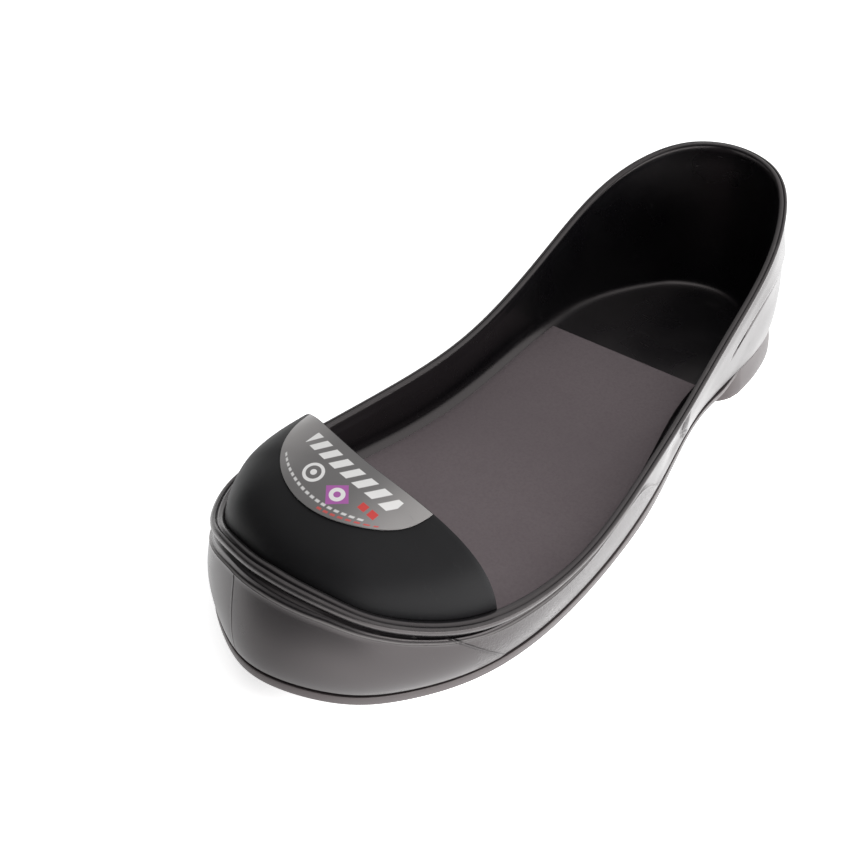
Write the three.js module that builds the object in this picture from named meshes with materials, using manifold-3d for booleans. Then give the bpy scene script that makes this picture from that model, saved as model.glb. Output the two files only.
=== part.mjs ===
// Safety toe overshoe for the left foot: a moulded sole and upper, a hard toe cap, a film label and a footbed.
// Millimetres, +Z up. The toe points to -Y, the outer side of the foot is +X, and the sole stands on Z = 0.
import * as THREE from "three";
import { mergeVertices } from "three/addons/utils/BufferGeometryUtils.js";
import Module from "manifold-3d";

const wasm = await Module();
wasm.setup();

// Wall sections around the overshoe. x and y are the sole's edge in plan, inset is how far the rim stands in
// from that edge, rim is the rim's height, and bulge is how far the wall swells between the two.
const SECTIONS = [
  { place: "toe tip", x: 1.5, y: -158.2, inset: 11.1, rim: 51, bulge: 3 },
  { place: "toe, outer", x: 28, y: -149.5, inset: 6.6, rim: 48, bulge: 3.2 },
  { place: "toe corner, outer", x: 44, y: -131.5, inset: 4, rim: 37, bulge: 3.2 },
  { place: "cap end, outer", x: 56.8, y: -99.5, inset: 0.4, rim: 26, bulge: 2 },
  { place: "ball, outer", x: 60, y: -54, inset: -2.5, rim: 26, bulge: 1 },
  { place: "waist, outer", x: 54.4, y: 3, inset: -0.6, rim: 33, bulge: 1 },
  { place: "heel breast, outer", x: 43.4, y: 57, inset: -4.6, rim: 42, bulge: 1.5 },
  { place: "heel side, outer", x: 43, y: 109, inset: 1, rim: 67, bulge: 2 },
  { place: "heel corner, outer", x: 31.5, y: 143.5, inset: 8.2, rim: 81.5, bulge: 3 },
  { place: "heel back", x: 1, y: 155, inset: 9.4, rim: 84, bulge: 3 },
  { place: "heel corner, inner", x: -28, y: 141, inset: 8.2, rim: 82.5, bulge: 3 },
  { place: "heel side, inner", x: -42, y: 107, inset: 1.2, rim: 69, bulge: 2 },
  { place: "heel breast, inner", x: -43, y: 54, inset: -1, rim: 43, bulge: 1.5 },
  { place: "waist, inner", x: -44, y: 3, inset: 0, rim: 33, bulge: 1 },
  { place: "ball, inner", x: -54, y: -54, inset: -1, rim: 27, bulge: 1 },
  { place: "cap end, inner", x: -59, y: -98, inset: -1, rim: 27, bulge: 2 },
  { place: "toe corner, inner", x: -43.5, y: -130, inset: 2, rim: 37, bulge: 2.6 },
  { place: "toe, inner", x: -24, y: -147.4, inset: 6, rim: 47, bulge: 2.5 },
];

// Sole, from the ground up
const TREAD = 2.6; // depth of the tread grooves
const TOE_SPRING = { from: -60, length: 95, rise: 10 }; // where the toe lifts off the ground, and how far
const SHANK = { from: -10, to: 62, rise: 9.4 }; // the arch between ball and heel
const SOLE_TOP = { ball: 4.2, heel: 12.4, from: -35, to: 65 }; // top of the sole under the upper's floor
const HEEL_BREAST = { corner: 93, bow: 26, half: 45 }; // front face of the heel block, rounded forward
const EDGE_ROUND = 1.6; // rounding of the sole's lower edge

// Upper
const GAP = 0.3; // running gap between neighbouring pieces
const WALL = 3; // thickness of the moulded wall
const FLOOR = 2; // thickness of the upper's floor
const SEAM_INSET = 0.9; // how far the wall starts in from the sole's edge
const BAND_TOP = 0.88; // share of the wall's height where the band below the rim ends
const GUARD_TOP = 0.78; // share of the wall's height where the toe guard and side panels end
const GUARD_STEP = 0.8; // how far the guard stands proud of the band
const INNER_FILLET = 5; // rounding between wall and floor

// Toe cap: a shell that stands on the floor inside the rim's lip and closes in a dome over a short spine
const LIP = 3.6; // how far the rim's inner lip stands in from the rim's line
const CAP = { crest: 61, wall: 2, foot: 4.5, spine: -106, square: 2.3, squareTip: 2.6, columns: 21, rows: 9 };
const CAP_EDGE = { outer: -95, inner: -70, bow: -15, reach: 58 }; // rear edge: its two ends, and its hollow
const LABEL = { left: -38.5, right: 30, depth: 28, setback: 0.8, film: 0.4, corner: 1.5 };

// Footbed
const FOOTBED = { thick: 2.4, inset: 9, rear: 66 };

const AROUND = 96; // sections sampled around the overshoe, an even number
const TONES = { upper: 0x2a2829, outsole: 0x3a3030, cap: 0x0c0c0e, label: 0x4a4849, footbed: 0x5b5154 };

// Smooth step from 0 to 1 between two places
function ease(from, to, v) {
  const t = Math.min(1, Math.max(0, (v - from) / (to - from)));
  return t * t * (3 - 2 * t);
}

// Lift of the toe off the ground
function springAt(y) {
  const t = Math.max(0, (TOE_SPRING.from - y) / TOE_SPRING.length);
  return TOE_SPRING.rise * t * t;
}

// Underside of the sole slab, without the heel block
function undersideAt(y) {
  return springAt(y) + SHANK.rise * ease(SHANK.from, SHANK.to, y);
}

// Top of the sole, which carries the upper's floor
function soleTopAt(y) {
  return springAt(y) + SOLE_TOP.ball + (SOLE_TOP.heel - SOLE_TOP.ball) * ease(SOLE_TOP.from, SOLE_TOP.to, y);
}

// Top of the upper's floor, which carries the footbed and the cap
function floorAt(y) {
  return soleTopAt(y) + GAP + FLOOR;
}

// The wall sections sampled around the overshoe, with each one's outward direction
function sampleSections(count) {
  const plan = SECTIONS.map((s) => new THREE.Vector3(s.x, s.y, s.bulge));
  const rim = SECTIONS.map((s) => new THREE.Vector3(s.inset, s.rim, 0));
  const planCurve = new THREE.CatmullRomCurve3(plan, true, "catmullrom", 0.5);
  const rimCurve = new THREE.CatmullRomCurve3(rim, true, "catmullrom", 0.5);
  return Array.from({ length: count }, (_, i) => {
    const t = i / count;
    const p = planCurve.getPoint(t);
    const r = rimCurve.getPoint(t);
    const along = planCurve.getTangent(t).setZ(0).normalize();
    return { x: p.x, y: p.y, bulge: p.z, inset: r.x, rim: r.y, out: new THREE.Vector2(along.y, -along.x) };
  });
}
const sections = sampleSections(AROUND);

// A section's point, moved in from the sole's edge, at a height
function pointOn(section, inset, z) {
  return new THREE.Vector3(section.x - section.out.x * inset, section.y - section.out.y * inset, z);
}

// A ring of points: each section moved in from the sole's edge, at a height
function ring(inset, heightAt) {
  return sections.map((s) => {
    const point = pointOn(s, typeof inset === "number" ? inset : inset(s), 0);
    return point.setZ(heightAt(point.y));
  });
}

// A ring on the wall: share is its place between the seam and the rim, and out moves it off the wall's line
function wallRing(share, out) {
  return sections.map((s) => {
    const swell = s.bulge * Math.sin(Math.PI * share ** 0.7);
    const inset = SEAM_INSET + (s.inset - SEAM_INSET) * share - swell - out;
    const seam = soleTopAt(s.y) + GAP;
    return pointOn(s, inset, seam + (s.rim - seam) * share);
  });
}

// A ring on the rim: out and up are measured from the rim's line
function rimRing(out, up) {
  return sections.map((s) => pointOn(s, s.inset - out, s.rim + up));
}

// A closed solid from rings that run up outside, then down inside: both ends are filled by rungs across
function solidFromRings(rings) {
  const n = rings[0].length;
  const triangles = [];
  const quad = (a, b, c, d) => triangles.push(a, b, c, a, c, d);
  for (let k = 0; k + 1 < rings.length; k++) {
    for (let i = 0; i < n; i++) {
      const j = (i + 1) % n;
      quad(k * n + i, k * n + j, (k + 1) * n + j, (k + 1) * n + i);
    }
  }
  const last = (rings.length - 1) * n;
  for (let i = 0; i < n / 2; i++) {
    const left = (n - i) % n;
    const nextLeft = n - i - 1;
    quad(left, nextLeft, i + 1, i);
    quad(last + i, last + i + 1, last + nextLeft, last + left);
  }
  return solidFromTriangles(rings.flat(), triangles);
}

// A manifold solid from points and triangle indices; triangles that collapse are left out
function solidFromTriangles(points, triangles) {
  const geometry = new THREE.BufferGeometry().setFromPoints(points);
  geometry.setIndex(triangles);
  return solidFromGeometry(geometry);
}

function solidFromGeometry(geometry) {
  geometry.deleteAttribute("normal");
  geometry.deleteAttribute("uv");
  const merged = mergeVertices(geometry, 1e-4);
  const kept = [];
  const index = merged.index.array;
  for (let i = 0; i < index.length; i += 3) {
    const [a, b, c] = [index[i], index[i + 1], index[i + 2]];
    if (a !== b && b !== c && a !== c) kept.push(a, b, c);
  }
  return new wasm.Manifold(
    new wasm.Mesh({
      numProp: 3,
      vertProperties: merged.attributes.position.array,
      triVerts: new Uint32Array(kept),
    }),
  );
}

function geometryFromSolid(solid) {
  const mesh = solid.getMesh();
  const geometry = new THREE.BufferGeometry();
  const points = new Float32Array(mesh.numVert * 3);
  for (let i = 0; i < mesh.numVert; i++) {
    for (let k = 0; k < 3; k++) points[i * 3 + k] = mesh.vertProperties[i * mesh.numProp + k];
  }
  geometry.setAttribute("position", new THREE.BufferAttribute(points, 3));
  geometry.setIndex(new THREE.BufferAttribute(mesh.triVerts, 1));
  geometry.computeVertexNormals();
  return geometry;
}

// An upright prism over a plan outline, between two heights
function prism(outline, low, high) {
  const shape = new THREE.Shape(outline);
  const geometry = new THREE.ExtrudeGeometry(shape, { depth: high - low, bevelEnabled: false });
  return solidFromGeometry(geometry.translate(0, 0, low));
}

function box(xLow, xHigh, yLow, yHigh, zLow, zHigh) {
  const geometry = new THREE.BoxGeometry(xHigh - xLow, yHigh - yLow, zHigh - zLow);
  geometry.translate((xLow + xHigh) / 2, (yLow + yHigh) / 2, (zLow + zHigh) / 2);
  return solidFromGeometry(geometry);
}

// Outline of a bar of even width that follows a bent line, with mitred corners
function barOutline(line, width) {
  const side = (sign) =>
    line.map((p, i) => {
      const before = line[Math.max(0, i - 1)];
      const after = line[Math.min(line.length - 1, i + 1)];
      const inward = i > 0 ? p.clone().sub(before).normalize() : after.clone().sub(p).normalize();
      const outward = i + 1 < line.length ? after.clone().sub(p).normalize() : inward.clone();
      const normal = new THREE.Vector2(-inward.y - outward.y, inward.x + outward.x).normalize();
      const reach = (width / 2) / Math.max(0.35, normal.dot(new THREE.Vector2(-inward.y, inward.x)));
      return p.clone().addScaledVector(normal, sign * reach);
    });
  return [...side(1), ...side(-1).reverse()];
}

// Sole edge in plan at a place along the overshoe: the outer and the inner side
function edgeAt(y) {
  const half = AROUND / 2;
  const find = (from, step) => {
    for (let k = 0; k < half; k++) {
      const a = sections[(from + step * k + AROUND) % AROUND];
      const b = sections[(from + step * (k + 1) + AROUND) % AROUND];
      if (a.y <= y && b.y >= y) return a.x + ((b.x - a.x) * (y - a.y)) / (b.y - a.y || 1);
    }
    return 0;
  };
  return { outer: find(0, 1), inner: find(0, -1) };
}

// Tread: bent bars along both sides that point to the edge and inwards in turn, square keys and cross bars in
// the middle, a toe pad with a notch in its rear edge, and heel bars
const FIELD = { inset: 5, front: -118, rear: -4 };
const PAD_NOTCH = { left: -13, right: 10, slope: 6, depth: 5 };
const SIDE_BARS = [
  { corner: "edge", y: -103 },
  { corner: "inner", y: -88 },
  { corner: "edge", y: -72 },
  { corner: "inner", y: -57 },
  { corner: "edge", y: -42 },
  { corner: "inner", y: -28 },
  { corner: "edge", y: -13 },
];
const SIDE_BAR = { reach: 23, spread: 5.6, width: 5.2 };
const KEYS = [
  { x: 8, y: -98, arm: 34 },
  { x: -5, y: -74, arm: 16 },
];
const KEY_WIDTH = 5.6;
const CROSS_BARS = [
  [[-17, -103], [-9, -108.5], [3, -104.5]],
  [[-26, -92], [-22.5, -84.5], [-15.5, -79.5]],
  [[-19, -36], [-4, -27], [14, -27], [27, -34]],
  [[-9, -15.5], [3, -12], [15, -15.5]],
];
const HEEL_FIELD = { inset: 7, bars: 4, front: 103, pitch: 13, width: 7.5, peak: 6 };
const DEEP = 40; // more than any height that a prism has to pass through

function planLine(pairs) {
  return pairs.map(([x, y]) => new THREE.Vector2(x, y));
}

function sideBarOutlines() {
  const outlines = [];
  for (const { corner, y } of SIDE_BARS) {
    const edge = edgeAt(y);
    for (const [x, inward] of [[edge.outer, -1], [edge.inner, 1]]) {
      const outerX = x + inward * FIELD.inset;
      const innerX = outerX + inward * SIDE_BAR.reach;
      const [cornerX, endX] = corner === "edge" ? [outerX + inward * 5, innerX] : [innerX, outerX - inward];
      const line = planLine([[endX, y - SIDE_BAR.spread], [cornerX, y], [endX, y + SIDE_BAR.spread]]);
      outlines.push(barOutline(line, SIDE_BAR.width));
    }
  }
  return outlines;
}

// Two hooks to a key, laid along the diagonals u and v from the key's corner
function keyOutlines() {
  const outlines = [];
  for (const { x, y, arm } of KEYS) {
    const outerHook = [[3, arm], [3, 3], [24, 3], [24, 12]];
    const innerHook = [[12.5, 10], [12.5, 21], [31, 21], [31, 7]];
    for (const hook of [outerHook, innerHook]) {
      const line = hook.map(([u, v]) => [x + (u - v) * Math.SQRT1_2, y + (u + v) * Math.SQRT1_2]);
      outlines.push(barOutline(planLine(line), KEY_WIDTH));
    }
  }
  return outlines;
}

function crossBarOutlines() {
  return CROSS_BARS.map((pairs) => barOutline(planLine(pairs), SIDE_BAR.width));
}

function heelBarOutlines() {
  const bars = [];
  for (let i = 0; i < HEEL_FIELD.bars; i++) {
    const y = HEEL_FIELD.front + i * HEEL_FIELD.pitch;
    const line = planLine([[-60, y], [0, y - HEEL_FIELD.peak], [60, y]]);
    bars.push(barOutline(line, HEEL_FIELD.width));
  }
  return bars;
}

function joinPrisms(outlines) {
  return outlines.map((o) => prism(o, -DEEP, DEEP)).reduce((a, b) => a.add(b));
}

function makeOutsole() {
  const slab = solidFromRings([
    ring(EDGE_ROUND + 6, undersideAt),
    ring(EDGE_ROUND, undersideAt),
    ring(0, (y) => undersideAt(y) + EDGE_ROUND),
    ring(0, (y) => soleTopAt(y) - 1),
    ring(SEAM_INSET, soleTopAt),
    ring(EDGE_ROUND + 6, soleTopAt),
  ]);
  const breast = [];
  for (let i = 0; i <= 16; i++) {
    const turn = Math.PI * (1 + i / 16);
    const forward = HEEL_BREAST.bow * Math.sin(turn);
    breast.push(new THREE.Vector2(HEEL_BREAST.half * Math.cos(turn), HEEL_BREAST.corner + forward));
  }
  const far = [[80, HEEL_BREAST.corner], [80, 200], [-80, 200], [-80, HEEL_BREAST.corner]];
  const behind = prism([...breast, ...far.map(([x, y]) => new THREE.Vector2(x, y))], -DEEP, DEEP);
  const heel = solidFromRings([
    ring(EDGE_ROUND + 6, () => 0),
    ring(1.4, () => 0),
    ring(0.4, () => 2),
    ring(0, () => SHANK.rise + 2),
    ring(EDGE_ROUND + 6, () => SHANK.rise + 2),
  ]).intersect(behind);
  const field = solidFromRings([
    ring(FIELD.inset, (y) => undersideAt(y) - 5),
    ring(FIELD.inset, (y) => undersideAt(y) + TREAD),
  ]).intersect(box(-90, 90, FIELD.front, FIELD.rear, -DEEP, DEEP));
  const heelField = solidFromRings([ring(HEEL_FIELD.inset, () => -5), ring(HEEL_FIELD.inset, () => TREAD)])
    .intersect(box(-90, 90, HEEL_FIELD.front - 4, 200, -DEEP, DEEP));
  const { left, right, slope, depth } = PAD_NOTCH;
  const notch = planLine([
    [left, FIELD.front + 1],
    [left + slope, FIELD.front - depth],
    [right - slope, FIELD.front - depth],
    [right, FIELD.front + 1],
  ]);
  const notchTop = undersideAt(FIELD.front) + TREAD;
  const bars = joinPrisms([...sideBarOutlines(), ...keyOutlines(), ...crossBarOutlines()]);
  const grooves = field.add(prism(notch, -DEEP, notchTop)).subtract(bars);
  const heelGrooves = heelField.subtract(joinPrisms(heelBarOutlines()));
  return slab.add(heel).subtract(grooves).subtract(heelGrooves);
}

// Inner wall of the upper: the same line as outside, one wall thickness in
function makeUpper() {
  const floorRing = (inset, up) => ring(inset, (y) => floorAt(y) + up);
  const solid = solidFromRings([
    ring(10, (y) => soleTopAt(y) + GAP),
    wallRing(0, 0),
    wallRing(0.08, 0),
    wallRing(0.22, 0),
    wallRing(0.4, 0),
    wallRing(0.56, 0),
    wallRing(GUARD_TOP - 0.02, 0),
    wallRing(GUARD_TOP, -GUARD_STEP),
    wallRing(BAND_TOP, -GUARD_STEP),
    rimRing(0.2, -3.8),
    rimRing(1.4, -2.8),
    rimRing(1.5, -1.2),
    rimRing(0.6, 0),
    rimRing(-0.8, -0.3),
    rimRing(-2.4, 0),
    rimRing(-LIP, -1),
    rimRing(-LIP, -3.4),
    wallRing(0.8, -WALL),
    wallRing(0.5, -WALL),
    wallRing(0.3, -WALL),
    floorRing(SEAM_INSET + WALL + 1, INNER_FILLET * 0.35),
    floorRing(SEAM_INSET + WALL + INNER_FILLET * 0.7, 0),
  ]);
  return solid.subtract(capBody(GAP, GAP));
}

// Rear edge of the cap in plan
function capEdgeAt(x) {
  const u = Math.max(-1, Math.min(1, x / CAP_EDGE.reach));
  const middle = (CAP_EDGE.outer + CAP_EDGE.inner) / 2;
  return middle + ((CAP_EDGE.outer - CAP_EDGE.inner) / 2) * u + CAP_EDGE.bow * (1 - u * u);
}

// One column of the cap's outer face, from its foot up past the lip and over to the spine
function capColumn(k, grow, lower) {
  const s = sections[(k + AROUND) % AROUND];
  const mirror = sections[(AROUND - k) % AROUND];
  const lipInset = s.inset + LIP + GAP - grow;
  const foot = pointOn(s, Math.max(lipInset, CAP.foot - grow), 0);
  const lip = pointOn(s, lipInset, s.rim - 2);
  const top = new THREE.Vector3(0, Math.max(CAP.spine, (s.y + mirror.y) / 2), CAP.crest + grow);
  const square = CAP.squareTip + (CAP.square - CAP.squareTip) * ease(-150, -112, s.y);
  const column = [foot.setZ(floorAt(foot.y) + GAP - lower)];
  for (let r = 0; r <= CAP.rows; r++) {
    const turn = (Math.PI / 2) * (r / CAP.rows);
    const over = 1 - Math.max(0, Math.cos(turn)) ** (2 / square);
    const up = Math.sin(turn) ** (2 / square);
    const point = lip.clone().lerp(top, r === CAP.rows ? 1 : over);
    column.push(point.setZ(lip.z + (top.z - lip.z) * up));
  }
  return column;
}

// The cap as a filled body, grown by some amount, with its foot lowered, and cut off behind its rear edge
function capBody(grow, lower, behind = grow) {
  const columns = [];
  for (let k = -CAP.columns; k <= CAP.columns; k++) columns.push(capColumn(k, grow, lower));
  const rows = columns[0].length;
  const at = (k, r) => (k + CAP.columns) * rows + r;
  const triangles = [];
  const quad = (a, b, c, d) => triangles.push(a, b, c, a, c, d);
  for (let k = -CAP.columns; k < CAP.columns; k++) {
    for (let r = 0; r + 1 < rows; r++) quad(at(k, r), at(k + 1, r), at(k + 1, r + 1), at(k, r + 1));
  }
  for (let k = 0; k < CAP.columns; k++) quad(at(-k, 0), at(-k - 1, 0), at(k + 1, 0), at(k, 0));
  const end = CAP.columns;
  for (let r = 0; r + 1 < rows; r++) quad(at(end, r), at(-end, r), at(-end, r + 1), at(end, r + 1));
  return solidFromTriangles(columns.flat(), triangles).subtract(behindCapEdge(behind));
}

// Everything behind the cap's rear edge, moved back by some amount
function behindCapEdge(back) {
  const outline = [];
  for (let x = -80; x <= 80; x += 8) outline.push(new THREE.Vector2(x, capEdgeAt(x) + back));
  return prism([...outline, new THREE.Vector2(80, 20), new THREE.Vector2(-80, 20)], -DEEP, 2 * DEEP);
}

function makeToeCap() {
  return capBody(0, 0).subtract(capBody(-CAP.wall, 4, CAP.wall));
}

// The label is a film over the cap: a straight side along the rear edge and a round one towards the toe
function makeLabel() {
  const STEPS = 20;
  const rear = [];
  const front = [];
  for (let i = 0; i <= STEPS; i++) {
    const u = -1 + (2 * i) / STEPS;
    const x = (LABEL.left + LABEL.right) / 2 + ((LABEL.right - LABEL.left) / 2) * u;
    const y = capEdgeAt(x) - LABEL.setback;
    const depth = Math.max(LABEL.corner, LABEL.depth * Math.sqrt(Math.max(0, 1 - u * u)));
    rear.push(new THREE.Vector2(x, y));
    front.push(new THREE.Vector2(x, y - depth));
  }
  const outline = prism([...front, ...rear.reverse()], -DEEP, 3 * DEEP);
  const film = capBody(GAP + LABEL.film, 0).subtract(capBody(GAP, 4));
  return film.intersect(outline);
}

// The footbed's outline clears the fillet, and under the cap it clears the cap's foot
function footbedInset(section) {
  return Math.max(FOOTBED.inset, section.inset + LIP + CAP.wall + 3 * GAP);
}

function makeFootbed() {
  const rise = (up) => (y) => floorAt(y) + GAP + up;
  const inset = (more) => (section) => footbedInset(section) + more;
  return solidFromRings([
    ring(inset(6), rise(0)),
    ring(inset(0), rise(0)),
    ring(inset(0), rise(FOOTBED.thick - 0.6)),
    ring(inset(0.6), rise(FOOTBED.thick)),
    ring(inset(6), rise(FOOTBED.thick)),
  ]).subtract(box(-90, 90, FOOTBED.rear, 200, -DEEP, 2 * DEEP));
}

function piece(name, solid, color, roughness, metalness) {
  const material = new THREE.MeshStandardMaterial({ color, roughness, metalness });
  const mesh = new THREE.Mesh(geometryFromSolid(solid), material);
  mesh.name = name;
  return mesh;
}

const overshoe = new THREE.Group();
overshoe.add(piece("outsole", makeOutsole(), TONES.outsole, 0.6, 0));
overshoe.add(piece("upper", makeUpper(), TONES.upper, 0.45, 0));
overshoe.add(piece("toe_cap", makeToeCap(), TONES.cap, 0.25, 0.1));
overshoe.add(piece("toe_label", makeLabel(), TONES.label, 0.35, 0));
overshoe.add(piece("footbed", makeFootbed(), TONES.footbed, 0.7, 0));

// The origin is at the middle of the overshoe in plan, on the ground
const middle = new THREE.Box3().setFromObject(overshoe).getCenter(new THREE.Vector3());
for (const mesh of overshoe.children) mesh.geometry.translate(-middle.x, -middle.y, 0);

export default overshoe;
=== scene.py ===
import math

import bpy
import numpy as np
from mathutils import Matrix, Vector


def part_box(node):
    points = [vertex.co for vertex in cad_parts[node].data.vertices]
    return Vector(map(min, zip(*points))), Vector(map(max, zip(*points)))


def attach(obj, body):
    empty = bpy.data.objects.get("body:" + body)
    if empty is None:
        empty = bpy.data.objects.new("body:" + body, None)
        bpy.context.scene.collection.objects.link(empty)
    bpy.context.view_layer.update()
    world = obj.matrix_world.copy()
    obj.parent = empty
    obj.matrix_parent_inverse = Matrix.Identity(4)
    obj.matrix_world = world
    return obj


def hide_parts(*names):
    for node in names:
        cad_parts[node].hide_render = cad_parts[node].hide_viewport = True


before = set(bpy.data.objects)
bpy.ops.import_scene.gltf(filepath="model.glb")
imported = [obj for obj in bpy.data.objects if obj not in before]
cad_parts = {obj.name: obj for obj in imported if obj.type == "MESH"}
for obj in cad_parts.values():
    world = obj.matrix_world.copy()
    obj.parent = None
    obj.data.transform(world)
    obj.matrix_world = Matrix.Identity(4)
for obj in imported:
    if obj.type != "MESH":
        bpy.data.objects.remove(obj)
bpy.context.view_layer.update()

# A moulded safety toe overshoe for the left foot, in millimetres: toe to -Y, outer side to +X. A span
# gives the y where a change begins and where it is complete.
MM = 0.001

# Stations around the overshoe on every ring of the wall
AROUND = 640

# Wall sections around the sole, counter-clockwise from above: the sole's edge (x, y), how far the rim
# leans in from it, the rim's height, and how far the wall bulges between.
SECTIONS = [
    # place, x, y, inset, rim, bulge
    ("toe tip", 1.5, -158.2, 11.1, 51, 3),
    ("toe outer", 28, -149.5, 6.6, 48, 3.2),
    ("toe corner outer", 44, -131.5, 4, 37, 3.2),
    ("cap end outer", 56.8, -99.5, 0.4, 26, 2),
    ("ball outer", 60, -54, -2.5, 26, 1),
    ("waist outer", 54.4, 3, -0.6, 33, 1),
    ("heel breast outer", 43.4, 57, -4.6, 42, 1.5),
    ("heel side outer", 43, 109, 1, 67, 2),
    ("heel corner outer", 31.5, 143.5, 8.2, 81.5, 3),
    ("heel back", 1, 155, 9.4, 84, 3),
    ("heel corner inner", -28, 141, 8.2, 82.5, 3),
    ("heel side inner", -42, 107, 1.2, 69, 2),
    ("heel breast inner", -43, 54, -1, 43, 1.5),
    ("waist inner", -44, 3, 0, 33, 1),
    ("ball inner", -54, -54, -1, 27, 1),
    ("cap end inner", -59, -98, -1, 27, 2),
    ("toe corner inner", -43.5, -130, 2, 37, 2.6),
    ("toe inner", -24, -147.4, 6, 47, 2.5),
]
LOOP_PASSES = AROUND // 5
RIM_PASSES = AROUND // 3
BULGE_SKEW = 0.7

# Height of the relief line on the wall: the guard's ridge round the toe, the end of the side panel
# where it dives to the sole, and the slit under the heel collar.
RELIEF_LINE = [
    # y, height on the outer side, height on the inner side
    (-158, 43.2, 43.2), (-150, 40.8, 40), (-141, 35.8, 34.6), (-131, 30.6, 29), (-117, 25.2, 23.2),
    (-103, 21.6, 20.4), (-92, 20.4, 19.4), (-74, 19.8, 18.6), (-54, 20.8, 19), (-40, 23.2, 21.5),
    (-27, 25.8, 24), (-13, 25.2, 23.6), (-6, 22, 21), (0, 17.4, 17), (6, 12, 12), (11, 8.6, 8.6),
    (30, 11, 11), (50, 17, 17), (78, 33.6, 33.6), (85, 38, 38), (94, 42.8, 42.8), (104.6, 46.6, 46.6),
    (126, 50, 50), (156, 52, 52),
]
LINE_PASSES = AROUND // 32
LINE_UNDER_RIM = 4.5
SIDE_BLEND = 6

# Sole: depth of the tread, curl of the toe, arch of the shank, top face, and front of the heel block
TREAD = 2.6
TOE_SPRING = {"from": -60, "length": 95, "rise": 10}
SHANK = {"span": (-10, 62), "rise": 9.4}
SOLE_TOP = {"ball": 4.2, "heel": 12.4, "span": (-35, 65)}
HEEL_BREAST = {"corner": 93, "bow": 26, "points": 90}

# Upper: gap between pieces, floor, wall, lip, and inset of the wall's foot from the sole's edge
GAP = 0.3
FLOOR = 2.0
WALL = 3.0
LIP = 3.6
SEAM_INSET = 0.9
HEEL_TUCK = {"depth": 1.1, "span": (64, 98)}

# Pieces inside and on the toe
CAP = {"crest": 61, "wall": 2, "foot": 4.5, "spine": -106, "under_lip": 8, "lip_reach": 1.0}
CAP_EDGE = {"middle": -82.5, "skew": -12.5, "bow": -15, "reach": 58}
LABEL = {"left": -38.5, "right": 30, "depth": 28, "setback": 0.8, "film": 0.4, "corner": 1.5}
FOOTBED = {"thick": 2.4, "inset": 7.8, "rear": 66, "spine_end": 20}

# Edges drawn across the wall as (y, height) points: the rear end of the toe guard, and the front of
# the heel counter.
GUARD_END = [(-117, 27), (-113, 23.2), (-107, 17.5), (-95, 6.2)]
COUNTER_FRONT = [(33.5, 38), (30, 28), (29.5, 23), (34, 16), (44, 9)]

# What the part's own centring takes off the tables, from two edges that both know
MIDDLE = np.array([
    LABEL["left"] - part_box("toe_label")[0][0] / MM,
    FOOTBED["rear"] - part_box("footbed")[1][1] / MM,
    0.0,
])

# The photo's camera in the tables' millimetres, with its roll in degrees
CAMERA = {
    "place": (227.38, -351.67, 334.73), "aim": (-37.71, -18.78, 10.48), "roll": 0.391, "lens": 56.31,
}


# Shapes shared by the pieces

def ease(start, end, value):
    """A soft climb from 0 at the start to 1 at the end."""
    t = np.clip((value - start) / (end - start), 0.0, 1.0)
    return t * t * (3 - 2 * t)


def spring_at(y):
    """How far the toe curls off the ground."""
    return TOE_SPRING["rise"] * np.maximum(0, (TOE_SPRING["from"] - y) / TOE_SPRING["length"]) ** 2


def sole_low_at(y):
    """The sole's lower edge, with the toe's curl and the shank's arch."""
    return spring_at(y) + SHANK["rise"] * ease(*SHANK["span"], y)


def sole_top_at(y):
    climb = ease(*SOLE_TOP["span"], y)
    return spring_at(y) + SOLE_TOP["ball"] + (SOLE_TOP["heel"] - SOLE_TOP["ball"]) * climb


def seam_at(y):
    return sole_top_at(y) + GAP


def floor_at(y):
    return seam_at(y) + FLOOR


def cap_edge_at(x):
    """The toe cap's rear edge, seen from above."""
    u = np.clip(x / CAP_EDGE["reach"], -1, 1)
    return CAP_EDGE["middle"] + CAP_EDGE["skew"] * u + CAP_EDGE["bow"] * (1 - u * u)


def run_smooth(loop, passes):
    """A closed loop of rows, each one eased towards its neighbours."""
    for _ in range(passes):
        loop = (np.roll(loop, 1, 0) + 2 * loop + np.roll(loop, -1, 0)) / 4
    return loop


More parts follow.
